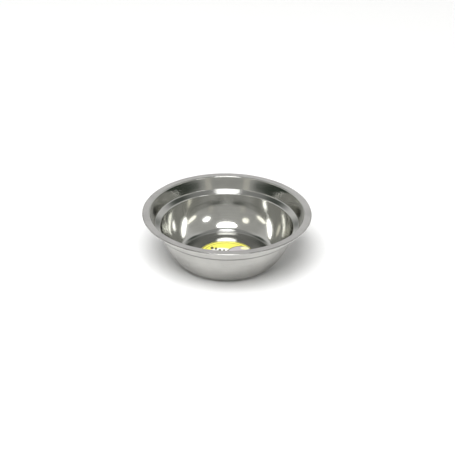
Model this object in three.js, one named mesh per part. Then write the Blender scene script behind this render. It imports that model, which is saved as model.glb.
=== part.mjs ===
// Shaving bowl: a one-piece pressed steel bowl with a paper label stuck to its floor.
// Millimetres, +Z up. The origin is on the bowl's axis, on the surface it stands on.
import * as THREE from 'three';

// Driving dimensions of the pressed bowl
const rimRadius = 65;          // outer edge of the flat rim
const bowlHeight = 40;         // underside of the foot to the top of the rim
const sheet = 0.8;             // thickness of the steel
const rimWidth = 5.8;          // flat rim, from its outer edge to the mouth
const hemWidth = 2.4;          // how far the rim's edge is folded back underneath
const bandTaper = 20;          // degrees that the band below the rim leans in
const ledgeDepth = 10.0;       // top of the rim to the outer corner of the ledge
const ledgeWidth = 4.4;        // ledge, from the band to the well's wall
const ledgeFall = 22;          // degrees that the ledge falls towards the axis
const wallLean = 11;           // degrees that the well's wall leans in at its top
const floorRadius = 34;        // flat part of the floor

// Bend radii, all on the inner, polished face
const lipBend = 1.1;           // rim to band
const ledgeBend = 1.1;         // band to ledge
const wallBend = 1.4;          // ledge to well
const floorBend = 7.2;         // well to floor
const bendShare = 0.85;        // most of the room beside the well's wall that it may fill

// Label
const labelRadius = 22;
const labelThickness = 0.15;
const glueThickness = 0.05;    // film of adhesive between label and floor

// Fineness of the facets
const turns = 64;              // facets around the axis
const bendStep = 15;           // degrees between points on a tight bend
const wallStep = 7;            // degrees between points on the well's wall
const foldStep = 30;           // degrees between points on the rim's folded edge

const { degToRad, radToDeg } = THREE.MathUtils;

// Unit vector at an angle in degrees, in the plane of the profile (radius, height)
function heading(degrees) {
  const angle = degToRad(degrees);
  return new THREE.Vector2(Math.cos(angle), Math.sin(angle));
}

// Where the line through a heading at angleA meets the line through b heading at angleB
function meeting(a, angleA, b, angleB) {
  const along = heading(angleA);
  const across = heading(angleB + 90);
  const distance = b.clone().sub(a).dot(across) / along.dot(across);
  return a.clone().addScaledVector(along, distance);
}

// Points on a round bend. facing is 1 where the inner face is on the outside of the
// bend and -1 where it is in the hollow. Each point carries its inner face's normal.
function bend(centre, radius, startAngle, endAngle, facing, step = bendStep) {
  const count = Math.ceil(Math.abs(endAngle - startAngle) / step);
  const points = [];
  for (let i = 0; i <= count; i += 1) {
    const outward = heading(startAngle + (endAngle - startAngle) * i / count);
    points.push({
      face: centre.clone().addScaledVector(outward, radius),
      normal: outward.multiplyScalar(facing),
    });
  }
  return points;
}

// Centre of a bend that rounds the corner between two straight stretches, the first
// heading at angleIn and the second at angleOut
function cornerCentre(corner, angleIn, angleOut, radius) {
  const left = angleOut > angleIn ? 1 : -1;
  const inFoot = corner.clone().addScaledVector(heading(angleIn + 90), left * radius);
  const outFoot = corner.clone().addScaledVector(heading(angleOut + 90), left * radius);
  return meeting(inFoot, angleIn, outFoot, angleOut);
}

// A rounded corner as a bend. A left turn has its inner face in the hollow.
function roundedCorner(corner, angleIn, angleOut, radius) {
  const facing = angleOut > angleIn ? -1 : 1;
  const centre = cornerCentre(corner, angleIn, angleOut, radius);
  return bend(centre, radius, angleIn + 90 * facing, angleOut + 90 * facing, facing);
}

// The well's wall is one large arc that leaves the top point at wallLean and runs
// tangent into the floor's bend, which is limited so that the wall keeps its curve
function wellAndFloor(wallTop) {
  const inward = heading(180 - wallLean);
  const floorEdge = new THREE.Vector2(floorRadius, sheet);
  const straightWallBend = floorEdge.clone().sub(wallTop).dot(inward) / (1 - inward.y);
  const footBend = Math.min(floorBend, bendShare * straightWallBend);
  const footCentre = new THREE.Vector2(floorRadius, sheet + footBend);
  const span = footCentre.clone().sub(wallTop);
  const wallRadius = (span.lengthSq() - footBend ** 2) / (2 * (span.dot(inward) - footBend));
  const wallCentre = wallTop.clone().addScaledVector(inward, wallRadius);
  const join = radToDeg(footCentre.clone().sub(wallCentre).angle()) - 360;
  return [
    ...bend(footCentre, footBend, -90, join, -1),
    ...bend(wallCentre, wallRadius, join, -wallLean, -1, wallStep).slice(1),
  ];
}

// The inner face of the steel from the floor's flat part out to the rim's edge
function innerFace() {
  const mouth = new THREE.Vector2(rimRadius - rimWidth, bowlHeight);
  const bandFoot = mouth.clone().addScaledVector(
    heading(-90 - bandTaper),
    ledgeDepth / Math.cos(degToRad(bandTaper)),
  );
  const ledgeEdge = bandFoot.clone().addScaledVector(
    heading(180 + ledgeFall),
    ledgeWidth / Math.cos(degToRad(ledgeFall)),
  );
  const wellEdge = roundedCorner(ledgeEdge, 90 - wallLean, ledgeFall, wallBend);
  return [
    ...wellAndFloor(wellEdge[0].face),
    ...wellEdge.slice(1),
    ...roundedCorner(bandFoot, ledgeFall, 90 - bandTaper, ledgeBend),
    ...roundedCorner(mouth, 90 - bandTaper, 0, lipBend),
  ];
}

// Closed outline of the steel in section: out along the outer face, round the folded
// edge of the rim and back along the inner face to the axis
function bowlSection() {
  const inner = innerFace();
  const outer = inner.map((point) => point.face.clone().addScaledVector(point.normal, -sheet));
  const foldCentre = new THREE.Vector2(rimRadius - sheet, bowlHeight - sheet);
  const fold = bend(foldCentre, sheet, -90, 90, 1, foldStep);
  const hemEnd = rimRadius - hemWidth;
  return [
    new THREE.Vector2(0, 0),
    ...outer,
    new THREE.Vector2(hemEnd, bowlHeight - sheet),
    new THREE.Vector2(hemEnd, bowlHeight - 2 * sheet),
    ...fold.map((point) => point.face),
    ...inner.map((point) => point.face).reverse(),
    new THREE.Vector2(0, sheet),
  ];
}

// A section turned about the bowl's axis, which is +Z here and +Y in LatheGeometry
function turned(section) {
  const geometry = new THREE.LatheGeometry(section, turns);
  geometry.rotateX(Math.PI / 2);
  return geometry;
}

function bowlShell() {
  const steel = new THREE.MeshStandardMaterial({ color: 0xc4c4bf, roughness: 0.12, metalness: 1 });
  const mesh = new THREE.Mesh(turned(bowlSection()), steel);
  mesh.name = 'bowl_shell';
  return mesh;
}

function floorLabel() {
  const paper = new THREE.MeshStandardMaterial({ color: 0xf3e75c, roughness: 0.45, metalness: 0 });
  const geometry = new THREE.CylinderGeometry(labelRadius, labelRadius, labelThickness, turns);
  geometry.rotateX(Math.PI / 2);
  const mesh = new THREE.Mesh(geometry, paper);
  mesh.name = 'floor_label';
  mesh.position.z = sheet + glueThickness + labelThickness / 2;
  return mesh;
}

const shavingBowl = new THREE.Group();
shavingBowl.name = 'shaving_bowl';
shavingBowl.add(bowlShell(), floorLabel());

export default shavingBowl;
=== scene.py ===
"""Shaving bowl: a pressed steel bowl with a label on its floor, standing on a white table.

Metres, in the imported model's frame: +Z up, the origin on the bowl's axis where it stands.
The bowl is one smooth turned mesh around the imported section, polished inside and satin
outside. The label is a printed paper disc with a rounded edge.
"""

import math

import bpy
from mathutils import Matrix, Vector


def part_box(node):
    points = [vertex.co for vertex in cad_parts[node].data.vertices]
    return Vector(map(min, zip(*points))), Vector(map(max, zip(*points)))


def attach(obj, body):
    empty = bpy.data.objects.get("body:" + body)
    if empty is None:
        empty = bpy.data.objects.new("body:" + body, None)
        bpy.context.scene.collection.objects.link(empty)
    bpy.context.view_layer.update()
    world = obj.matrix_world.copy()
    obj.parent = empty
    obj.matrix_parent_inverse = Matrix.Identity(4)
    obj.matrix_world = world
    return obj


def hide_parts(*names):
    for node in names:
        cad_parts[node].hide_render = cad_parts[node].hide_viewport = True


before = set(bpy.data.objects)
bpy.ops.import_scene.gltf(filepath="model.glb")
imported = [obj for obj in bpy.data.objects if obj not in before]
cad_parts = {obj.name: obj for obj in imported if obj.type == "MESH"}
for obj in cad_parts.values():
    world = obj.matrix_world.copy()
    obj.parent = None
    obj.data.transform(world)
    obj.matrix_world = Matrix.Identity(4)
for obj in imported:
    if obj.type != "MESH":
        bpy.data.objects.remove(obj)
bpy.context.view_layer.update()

MM = 0.001

# Overall sizes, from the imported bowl
shell_low, shell_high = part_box("bowl_shell")
RIM_RADIUS = (shell_high.x - shell_low.x) / 2
BOWL_HEIGHT = shell_high.z

# Sizes of the pressed section, as in the part's source
SHEET = 0.8 * MM
RIM_WIDTH = 5.8 * MM
HEM_WIDTH = 2.4 * MM
BAND_TAPER = 20
LEDGE_DEPTH = 10.0 * MM
LEDGE_WIDTH = 4.4 * MM
LEDGE_FALL = 22
WALL_LEAN = 11
FLOOR_RADIUS = 34 * MM
LIP_BEND = 1.1 * MM
LEDGE_BEND = 1.1 * MM
WALL_BEND = 1.4 * MM
FLOOR_BEND = 7.2 * MM

# Finer shape that only this model has
SEAM_GAP = 0.06 * MM          # slit between the rim and the edge folded under it
SEAM_DEPTH = 0.7 * MM
EDGE_ROUND = 0.15 * MM        # the sheet's cut edge
TURNS = 384                   # facets around the axis
BEND_STEP = 4                 # degrees between points on a tight bend
WALL_STEP = 1.2               # degrees between points on the well's wall
FLAT_STEP = 4 * MM            # longest stretch between points on a flat


# ---------------------------------------------------------------- section of the bowl
def heading(degrees):
    angle = math.radians(degrees)
    return Vector((math.cos(angle), math.sin(angle)))


def meeting(a, angle_a, b, angle_b):
    """Where the line through a heading at angle_a meets the line through b."""
    along, across = heading(angle_a), heading(angle_b + 90)
    return a + along * ((b - a).dot(across) / along.dot(across))


def bend(centre, radius, start, end, facing, step=BEND_STEP):
    """Points on a round bend with the inner face's normals, as (point, normal)."""
    count = max(1, math.ceil(abs(end - start) / step))
    outward = [heading(start + (end - start) * i / count) for i in range(count + 1)]
    return [(centre + n * radius, n * facing) for n in outward]


def rounded_corner(corner, angle_in, angle_out, radius):
    left = 1 if angle_out > angle_in else -1
    in_foot = corner + heading(angle_in + 90) * (left * radius)
    out_foot = corner + heading(angle_out + 90) * (left * radius)
    centre = meeting(in_foot, angle_in, out_foot, angle_out)
    return bend(centre, radius, angle_in - 90 * left, angle_out - 90 * left, -left)


def well_and_floor(wall_top):
    """The well's wall is one large arc, tangent to the floor's bend."""
    floor_centre = Vector((FLOOR_RADIUS, SHEET + FLOOR_BEND))
    inward = heading(180 - WALL_LEAN)
    span = floor_centre - wall_top
    radius = (span.length_squared - FLOOR_BEND**2) / (2 * (span.dot(inward) - FLOOR_BEND))
    centre = wall_top + inward * radius
    run = floor_centre - centre
    join = math.degrees(math.atan2(run.y, run.x))
    floor = bend(floor_centre, FLOOR_BEND, -90, join, -1)
    return floor + bend(centre, radius, join, -WALL_LEAN, -1, WALL_STEP)[1:]


def inner_face():
    """The inner face from the floor's flat part out to the end of the lip's bend."""
    mouth = Vector((RIM_RADIUS - RIM_WIDTH, BOWL_HEIGHT))
    band_length = LEDGE_DEPTH / math.cos(math.radians(BAND_TAPER))
    band_foot = mouth + heading(-90 - BAND_TAPER) * band_length
    ledge_length = LEDGE_WIDTH / math.cos(math.radians(LEDGE_FALL))
    ledge_edge = band_foot + heading(180 + LEDGE_FALL) * ledge_length
    well_edge = rounded_corner(ledge_edge, 90 - WALL_LEAN, LEDGE_FALL, WALL_BEND)
    return (
        well_and_floor(well_edge[0][0])
        + well_edge[1:]
        + rounded_corner(band_foot, LEDGE_FALL, 90 - BAND_TAPER, LEDGE_BEND)
        + rounded_corner(mouth, 90 - BAND_TAPER, 0, LIP_BEND)
    )


def divided(points, longest=FLAT_STEP):
    """The same outline with no stretch longer than a given length."""
    result = [points[0]]
    for a, b in zip(points, points[1:]):
        count = max(1, math.ceil((b - a).length / longest))
        result += [a.lerp(b, i / count) for i in range(1, count + 1)]
    return result


def arc(centre, radius, start, end, step=15):
    return [p for p, _ in bend(centre, radius, start, end, 1, step)]


def section_parts():
    """The closed outline as named stretches, out along the outer face and back inside."""
    face = inner_face()
    inner = [p for p, _ in face]
    outer = [p - n * SHEET for p, n in face]
    underside = BOWL_HEIGHT - SHEET
    hem_end = RIM_RADIUS - HEM_WIDTH
    hem_foot = BOWL_HEIGHT - 2 * SHEET
    fold_centre = Vector((RIM_RADIUS - SHEET, underside))
    hem_top = underside - SEAM_GAP
    hem = (
        [Vector((hem_end + SEAM_DEPTH, underside)), Vector((hem_end + SEAM_DEPTH, hem_top))]
        + arc(Vector((hem_end + EDGE_ROUND, hem_top - EDGE_ROUND)), EDGE_ROUND, 90, 180, 30)
        + arc(Vector((hem_end + EDGE_ROUND, hem_foot + EDGE_ROUND)), EDGE_ROUND, 180, 270, 30)
    )
    return [
        ("outside", divided([Vector((0, 0))] + outer + hem[:1])),
        ("hem", hem),
        ("rim", [hem[-1]] + arc(fold_centre, SHEET, -90, 90, 6)),
        ("rim", divided([Vector((RIM_RADIUS - SHEET, BOWL_HEIGHT)), inner[-1]])),
        ("inside", divided(inner[::-1] + [Vector((0, SHEET))])),
    ]


def outline(parts):
    """One list of points, with the stretch that each span between two points is in."""
    points, names = [parts[0][1][0]], []
    for name, stretch in parts:
        for point in stretch:
            if (point - points[-1]).length > 1e-7:
                points.append(point)
                names.append(name)
    return points, names


def turned_mesh(name, points, slots):
    """A closed mesh from a section that starts and ends on the axis."""
    ring_points = points[1:-1]
    angles = [2 * math.pi * i / TURNS for i in range(TURNS)]
    turns = [(math.cos(a), math.sin(a)) for a in angles]
    vertices = [(p.x * c, p.x * s, p.y) for p in ring_points for c, s in turns]
    foot, top = len(vertices), len(vertices) + 1
    vertices += [(0, 0, points[0].y), (0, 0, points[-1].y)]
    faces, face_slots = [], []
    for i in range(TURNS):
        j = (i + 1) % TURNS
        faces.append((foot, j, i))
        face_slots.append(slots[0])
    for ring in range(len(ring_points) - 1):
        low, high = ring * TURNS, (ring + 1) * TURNS
        for i in range(TURNS):
            j = (i + 1) % TURNS
            faces.append((low + i, low + j, high + j, high + i))
            face_slots.append(slots[ring + 1])
    last = (len(ring_points) - 1) * TURNS
    for i in range(TURNS):
        j = (i + 1) % TURNS
        faces.append((last + i, last + j, top))
        face_slots.append(slots[-1])
    mesh = bpy.data.meshes.new(name)
    mesh.from_pydata(vertices, [], faces)
    mesh.polygons.foreach_set("material_index", face_slots)
    mesh.polygons.foreach_set("use_smooth", [True] * len(faces))
    mesh.update()
    piece = bpy.data.objects.new(name, mesh)
    bpy.context.scene.collection.objects.link(piece)
    return piece


# ---------------------------------------------------------------- materials
class Nodes:
    """Short ways to add and join the nodes of one material or world."""

    def __init__(self, tree):
        self.tree = tree
        tree.nodes.clear()

    def add(self, kind, *values, out=0, **settings):
        """A node with its inputs set or joined in order. Returns the wanted output."""
        node = self.tree.nodes.new(kind)
        for key, value in settings.items():
            setattr(node, key, value)
        for socket, value in zip(node.inputs, values):
            self.give(socket, value)
        return node.outputs[out]

    def give(self, socket, value):
        if value is None:
            return
        if isinstance(value, bpy.types.NodeSocket):
            self.tree.links.new(value, socket)
        else:
            socket.default_value = value

    def end(self, shader, kind="ShaderNodeOutputMaterial"):
        self.give(self.tree.nodes.new(kind).inputs["Surface"], shader)

    def maths(self, operation, *values, clamp=False):
        return self.add("ShaderNodeMath", *values, operation=operation, use_clamp=clamp)

    def ramp(self, value, low, high, to_low=0.0, to_high=1.0, smooth=True):
        """value taken from the range low..high to the range to_low..to_high."""
        kind = "SMOOTHSTEP" if smooth else "LINEAR"
        return self.add(
            "ShaderNodeMapRange", value, low, high, to_low, to_high, interpolation_type=kind
        )

    def mix(self, factor, a, b):
        """Colours a and b mixed by factor."""
        node = self.tree.nodes.new("ShaderNodeMix")
        node.data_type = "RGBA"
        self.give(node.inputs["Factor"], factor)
        self.give(node.inputs[6], a)
        self.give(node.inputs[7], b)
        return node.outputs[2]

    def noise(self, vector, scale, detail=2.0, roughness=0.5):
        node = self.tree.nodes.new("ShaderNodeTexNoise")
        self.give(node.inputs["Vector"], vector)
        node.inputs["Scale"].default_value = scale
        node.inputs["Detail"].default_value = detail
        node.inputs["Roughness"].default_value = roughness
        return node.outputs["Fac"]


def turned_coordinates(nodes):
    """(radius, height, object coordinates) at a point of a turned piece."""
    place = nodes.add("ShaderNodeTexCoord", out=3)
    split = nodes.add("ShaderNodeSeparateXYZ", place).node
    x, y, z = split.outputs
    radius = nodes.maths("SQRT", nodes.maths("ADD", nodes.maths("MULTIPLY", x, x),
                                             nodes.maths("MULTIPLY", y, y)))
    return radius, z, place


def steel(name, colour, roughness, lines, lines_height, waves_height, anisotropy, shade_strength=0.0):
    """Stainless steel finished on a lathe: fine rings, slight waves and faint wiping.

    shade_strength is how strongly a painted shade line darkens the steel at the band's foot,
    where the ledge shades the wall below it.
    """
    material = bpy.data.materials.new(name)
    material.use_nodes = True
    nodes = Nodes(material.node_tree)
    radius, height, place = turned_coordinates(nodes)
    ring_place = nodes.add("ShaderNodeCombineXYZ", radius, height, 0.0)
    fine = nodes.noise(ring_place, lines, 3.0, 0.6)
    wiped = nodes.noise(place, 45.0, 3.0, 0.55)
    wave = nodes.noise(place, 70.0, 1.0, 0.4)
    shader = nodes.tree.nodes.new("ShaderNodeBsdfPrincipled")
    shader.inputs["Metallic"].default_value = 1.0
    shader.inputs["Anisotropic"].default_value = anisotropy
    tone = nodes.maths("ADD", nodes.ramp(fine, 0.3, 0.7, -0.5, 0.5),
                       nodes.ramp(wiped, 0.3, 0.7, -0.5, 0.5))
    low, high = roughness
    nodes.give(shader.inputs["Roughness"], nodes.ramp(tone, -1.0, 1.0, low, high, False))
    dull = [c * 0.80 for c in colour]
    steel_colour = nodes.mix(nodes.ramp(tone, -1.0, 1.0), (*colour, 1), (*dull, 1))
    # painted shade: a dark line at the band's foot stands in for the shade under the ledge
    from_bend = nodes.maths("ABSOLUTE", nodes.maths("SUBTRACT", height, BEND_HEIGHT))
    shade_line = nodes.maths("MULTIPLY", nodes.ramp(from_bend, SHADE_REACH, 0.0), shade_strength)
    shade_colour = [c * 0.35 for c in colour]
    nodes.give(shader.inputs["Base Color"],
               nodes.mix(shade_line, steel_colour, (*shade_colour, 1)))
    fine_bump = nodes.tree.nodes.new("ShaderNodeBump")
    fine_bump.inputs["Distance"].default_value = lines_height
    nodes.give(fine_bump.inputs["Height"], fine)
    wave_bump = nodes.tree.nodes.new("ShaderNodeBump")
    wave_bump.inputs["Distance"].default_value = waves_height
    nodes.give(wave_bump.inputs["Height"], wave)
    nodes.give(wave_bump.inputs["Normal"], fine_bump.outputs[0])
    nodes.give(shader.inputs["Normal"], wave_bump.outputs[0])
    nodes.end(shader.outputs[0])
    return material


BEND_HEIGHT = BOWL_HEIGHT - LEDGE_DEPTH    # the band's foot
SHADE_REACH = 1.3 * MM                       # how far the painted shade line at the band's foot reaches each way

POLISHED = steel("polished_inside", (0.62, 0.62, 0.592), (0.08, 0.15), 9000, 0.0000006,
                 0.00002, 0.0)
RIM_STEEL = steel("satin_rim", (0.62, 0.611, 0.596), (0.16, 0.24), 7000, 0.000001,
                  0.00001, 0.3)
# the outside gets the painted shade line at the band's foot
SATIN = steel("satin_outside", (0.53, 0.524, 0.503), (0.15, 0.30), 6000, 0.0000015,
              0.00001, 0.5, shade_strength=0.9)
CUT_EDGE = steel("cut_edge", (0.50, 0.50, 0.49), (0.35, 0.5), 9000, 0.000001, 0.00001, 0.0)

points, names = outline(section_parts())
order = {"outside": 0, "hem": 1, "rim": 2, "inside": 3}
bowl = turned_mesh("bowl_steel", points, [order[n] for n in names])
for material in (SATIN, CUT_EDGE, RIM_STEEL, POLISHED):
    bowl.data.materials.append(material)
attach(bowl, "root")
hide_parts("bowl_shell")

# ---------------------------------------------------------------- label
label_low, label_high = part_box("floor_label")
LABEL_RADIUS = (label_high.x - label_low.x) / 2
LABEL_EDGE = (label_high.z - label_low.z) / 2


def label_material():
    """Generic print on coated paper: a border, a panel with dabs, and a disc."""
    material = bpy.data.materials.new("label_print")
    material.use_nodes = True
    nodes = Nodes(material.node_tree)
    radius, _, place = turned_coordinates(nodes)
    x, y, _ = nodes.add("ShaderNodeSeparateXYZ", place).node.outputs

    def oval(centre_x, centre_y, half_x, half_y, soft=0.03):
        """1 inside an oval given in millimetres on the label, 0 outside."""
        across = nodes.maths("MULTIPLY_ADD", x, 1 / (half_x * MM), -centre_x / half_x)
        along = nodes.maths("MULTIPLY_ADD", y, 1 / (half_y * MM), -centre_y / half_y)
        squared = nodes.maths("ADD", nodes.maths("MULTIPLY", across, across),
                              nodes.maths("MULTIPLY", along, along))
        return nodes.ramp(squared, 1 + 2 * soft, 1 - 2 * soft)

    def ring(start, end):
        """1 between two radii in millimetres."""
        soft = 0.08 * MM
        outer = nodes.ramp(radius, end * MM + soft, end * MM - soft)
        return nodes.maths("MULTIPLY", outer,
                           nodes.ramp(radius, start * MM - soft, start * MM + soft))

    yellow, olive = (0.97, 0.92, 0.14, 1), (0.075, 0.07, 0.02, 1)
    white, lilac = (0.92, 0.92, 0.88, 1), (0.52, 0.48, 0.51, 1)
    pale = (0.88, 0.87, 0.52, 1)
    grain = nodes.noise(place, 900, 3.0, 0.6)
    colour = nodes.mix(nodes.ramp(grain, 0.3, 0.7), yellow, (0.93, 0.86, 0.12, 1))
    colour = nodes.mix(ring(18.6, 19.0), colour, olive)
    colour = nodes.mix(oval(-4.0, 4.4, 9.6, 6.6), colour, white)
    for dab_x, dab_y, half_x, half_y in (
        (-11.4, 10.6, 1.25, 1.9), (-8.3, 9.6, 0.8, 2.0), (-5.2, 7.4, 1.0, 1.6),
        (-1.9, 7.3, 0.7, 1.5), (1.0, 6.2, 0.6, 1.3),
    ):
        colour = nodes.mix(oval(dab_x, dab_y, half_x, half_y, 0.08), colour, olive)
    colour = nodes.mix(oval(11.2, 3.2, 10.9, 10.9), colour, olive)
    colour = nodes.mix(oval(11.2, 3.2, 10.2, 10.2), colour, lilac)
    colour = nodes.mix(oval(14.7, 11.0, 3.6, 2.4, 0.15), colour, pale)
    colour = nodes.mix(oval(-3.0, -9.0, 12.0, 0.5), colour, olive)
    colour = nodes.mix(oval(-2.0, -12.0, 9.0, 0.5), colour, olive)
    colour = nodes.mix(ring(20.9, 21.6), colour, olive)
    shader = nodes.tree.nodes.new("ShaderNodeBsdfPrincipled")
    nodes.give(shader.inputs["Roughness"], nodes.ramp(grain, 0.2, 0.8, 0.30, 0.42, False))
    shader.inputs["Coat Weight"].default_value = 1.0
    shader.inputs["Coat Roughness"].default_value = 0.12
    nodes.give(shader.inputs["Base Color"], colour)
    bump = nodes.tree.nodes.new("ShaderNodeBump")
    bump.inputs["Distance"].default_value = 0.01 * MM
    nodes.give(bump.inputs["Height"], grain)
    nodes.give(shader.inputs["Normal"], bump.outputs[0])
    nodes.end(shader.outputs[0])
    return material


label_section = (
    [Vector((0, label_low.z))]
    + arc(Vector((LABEL_RADIUS - LABEL_EDGE, label_low.z + LABEL_EDGE)), LABEL_EDGE, -90, 90)
    + [Vector((0, label_high.z))]
)
label_points = divided(label_section, 2 * MM)
label = turned_mesh("label_paper_disc", label_points, [0] * (len(label_points) - 1))
label.data.materials.append(label_material())
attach(label, "root")
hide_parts("floor_label")

# ---------------------------------------------------------------- table and light
FLOOR_SIZE = 12.0


def table_top():
    material = bpy.data.materials.new("white_table")
    material.use_nodes = True
    nodes = Nodes(material.node_tree)
    shader = nodes.tree.nodes.new("ShaderNodeBsdfPrincipled")
    shader.inputs["Base Color"].default_value = (0.88, 0.88, 0.88, 1)
    shader.inputs["Roughness"].default_value = 0.7
    shader.inputs["Specular IOR Level"].default_value = 0.1
    nodes.end(shader.outputs[0])
    half = FLOOR_SIZE / 2
    mesh = bpy.data.meshes.new("table_top")
    corners = [(-half, -half, 0), (half, -half, 0), (half, half, 0), (-half, half, 0)]
    mesh.from_pydata(corners, [], [(0, 1, 2, 3)])
    mesh.materials.append(material)
    top = bpy.data.objects.new("table_top", mesh)
    bpy.context.scene.collection.objects.link(top)


# Tones of the surround that the steel reflects
BACK_TONE = (0.74, 0.74, 0.735, 1)
FRONT_TONE = (0.50, 0.50, 0.48, 1)
FRONT_LOW_TONE = (0.24, 0.24, 0.232, 1)
SIDE_TONE = (0.035, 0.045, 0.035, 1)
OVERHEAD_TONE = (0.34, 0.34, 0.335, 1)
STREAK_TONE = (0.60, 0.59, 0.54, 1)
PATCH_TONE = (0.09, 0.10, 0.09, 1)

# Dark patches behind the bowl: the range to each side and the range of height, as
# parts of a unit direction
PATCHES = (((0.20, 0.60), (0.68, 0.90)), ((0.27, 0.50), (0.28, 0.46)))


def studio_world():
    """A white studio, greyer on the camera's side and overhead, dark at the sides near
    the table, with a light streak each side of the camera and dark patches behind."""
    world = bpy.data.worlds.new("studio")
    world.use_nodes = True
    nodes = Nodes(world.node_tree)
    place = nodes.add("ShaderNodeTexCoord")
    x, y, z = nodes.add("ShaderNodeSeparateXYZ", place).node.outputs

    def between(value, low, high, soft):
        return nodes.maths("MULTIPLY", nodes.ramp(value, low - soft, low + soft),
                           nodes.ramp(value, high + soft, high - soft))

    front = nodes.ramp(y, 0.35, -0.35)
    behind = nodes.ramp(y, 0.1, 0.3)
    low = nodes.ramp(z, 0.30, 0.0)
    aside_x = nodes.maths("ABSOLUTE", x)
    colour = nodes.mix(front, BACK_TONE, nodes.mix(low, FRONT_TONE, FRONT_LOW_TONE))
    side = nodes.maths("MULTIPLY", nodes.ramp(aside_x, 0.55, 0.72), nodes.ramp(z, 0.26, 0.12))
    colour = nodes.mix(side, colour, SIDE_TONE)
    colour = nodes.mix(nodes.ramp(z, 0.80, 0.93), colour, OVERHEAD_TONE)
    streak = nodes.maths("MULTIPLY", between(aside_x, 0.40, 0.54, 0.03), front)
    streak = nodes.maths("MULTIPLY", streak, between(z, 0.04, 0.36, 0.08))
    colour = nodes.mix(streak, colour, STREAK_TONE)
    for aside, up in PATCHES:
        patch = nodes.maths("MULTIPLY", between(aside_x, *aside, 0.12), between(z, *up, 0.09))
        colour = nodes.mix(nodes.maths("MULTIPLY", patch, behind), colour, PATCH_TONE)
    background = nodes.add("ShaderNodeBackground", colour, 1.0)
    camera_white = nodes.add("ShaderNodeBackground", (1, 1, 1, 1), 1.05)
    is_camera = nodes.add("ShaderNodeLightPath")
    mixed = nodes.add("ShaderNodeMixShader", is_camera, background, camera_white)
    nodes.end(mixed, "ShaderNodeOutputWorld")
    bpy.context.scene.world = world


LIGHT_DISTANCE = 3.0
WHITE = (1, 1, 1)
CREAM = (1.0, 0.97, 0.84)

# Lights that only show in the steel: name, azimuth, elevation, width and height in
# degrees, radiance, colour
HIGHLIGHTS = (
    ("key", 0, 49, 34, 13, 7, WHITE),
    ("right_light", 43, 31, 14, 6, 5, WHITE),
    ("left_light", -41, 33, 12, 8, 1.8, CREAM),
    ("right_strip", 72, 19, 22, 4.5, 2.0, CREAM),
    ("left_strip", -70, 19, 22, 4.5, 2.0, CREAM),
    ("ledge_light", 180, 73, 11, 8, 2.5, WHITE),
    ("zenith_light", 0, 84, 18, 14, 4, WHITE),
)


def softbox(name, azimuth, elevation, width, height, radiance, colour=WHITE,
            reflected=True, lighting=True):
    """A soft oval light aimed at the bowl, its size and place as angles from the bowl.

    Azimuth 0 is the camera's side and positive is to the right. A light that isn't
    reflected lights the table and the label without showing in the steel, and one that
    isn't lighting only shows in the steel.
    """
    light = bpy.data.lights.new(name, "AREA")
    light.shape = "ELLIPSE"
    light.size = 2 * LIGHT_DISTANCE * math.tan(math.radians(width / 2))
    light.size_y = 2 * LIGHT_DISTANCE * math.tan(math.radians(height / 2))
    light.energy = radiance * math.pi * math.pi / 4 * light.size * light.size_y
    light.color = colour
    lamp = bpy.data.objects.new(name, light)
    a, e = math.radians(azimuth), math.radians(elevation)
    way = Vector((math.sin(a) * math.cos(e), -math.cos(a) * math.cos(e), math.sin(e)))
    lamp.location = way * LIGHT_DISTANCE
    lamp.rotation_mode = "QUATERNION"
    lamp.rotation_quaternion = way.to_track_quat("Z", "Y")
    lamp.visible_camera = False
    lamp.visible_glossy = reflected
    lamp.visible_diffuse = lighting
    bpy.context.scene.collection.objects.link(lamp)


table_top()
studio_world()
for row in HIGHLIGHTS:
    softbox(*row, lighting=False)
softbox("table_light", -12, 64, 40, 30, 11, reflected=False)

# ---------------------------------------------------------------- camera
CAMERA_DISTANCE = 14 * RIM_RADIUS
CAMERA_ELEVATION = 28.62
CAMERA_ROLL = 0.76
CAMERA_LENS = 93.9
AIM_RIGHT = 0.575 * MM
AIM_DOWN = 12.5 * MM


def place_camera():
    data = bpy.data.cameras.new("camera")
    data.lens = CAMERA_LENS
    data.sensor_width = 36
    camera = bpy.data.objects.new("camera", data)
    e = math.radians(CAMERA_ELEVATION)
    back = Vector((0, -math.cos(e), math.sin(e)))
    up = Vector((0, math.sin(e), math.cos(e)))
    centre = Vector((0, 0, BOWL_HEIGHT))
    camera.location = centre + back * CAMERA_DISTANCE
    aim = centre + Vector((AIM_RIGHT, 0, 0)) - up * AIM_DOWN
    look = (camera.location - aim).to_track_quat("Z", "Y").to_matrix().to_4x4()
    turn = look @ Matrix.Rotation(math.radians(CAMERA_ROLL), 4, "Z")
    camera.rotation_mode = "QUATERNION"
    camera.rotation_quaternion = turn.to_quaternion()
    bpy.context.scene.collection.objects.link(camera)
    bpy.context.scene.camera = camera


place_camera()
bpy.context.scene.view_settings.view_transform = "Standard"
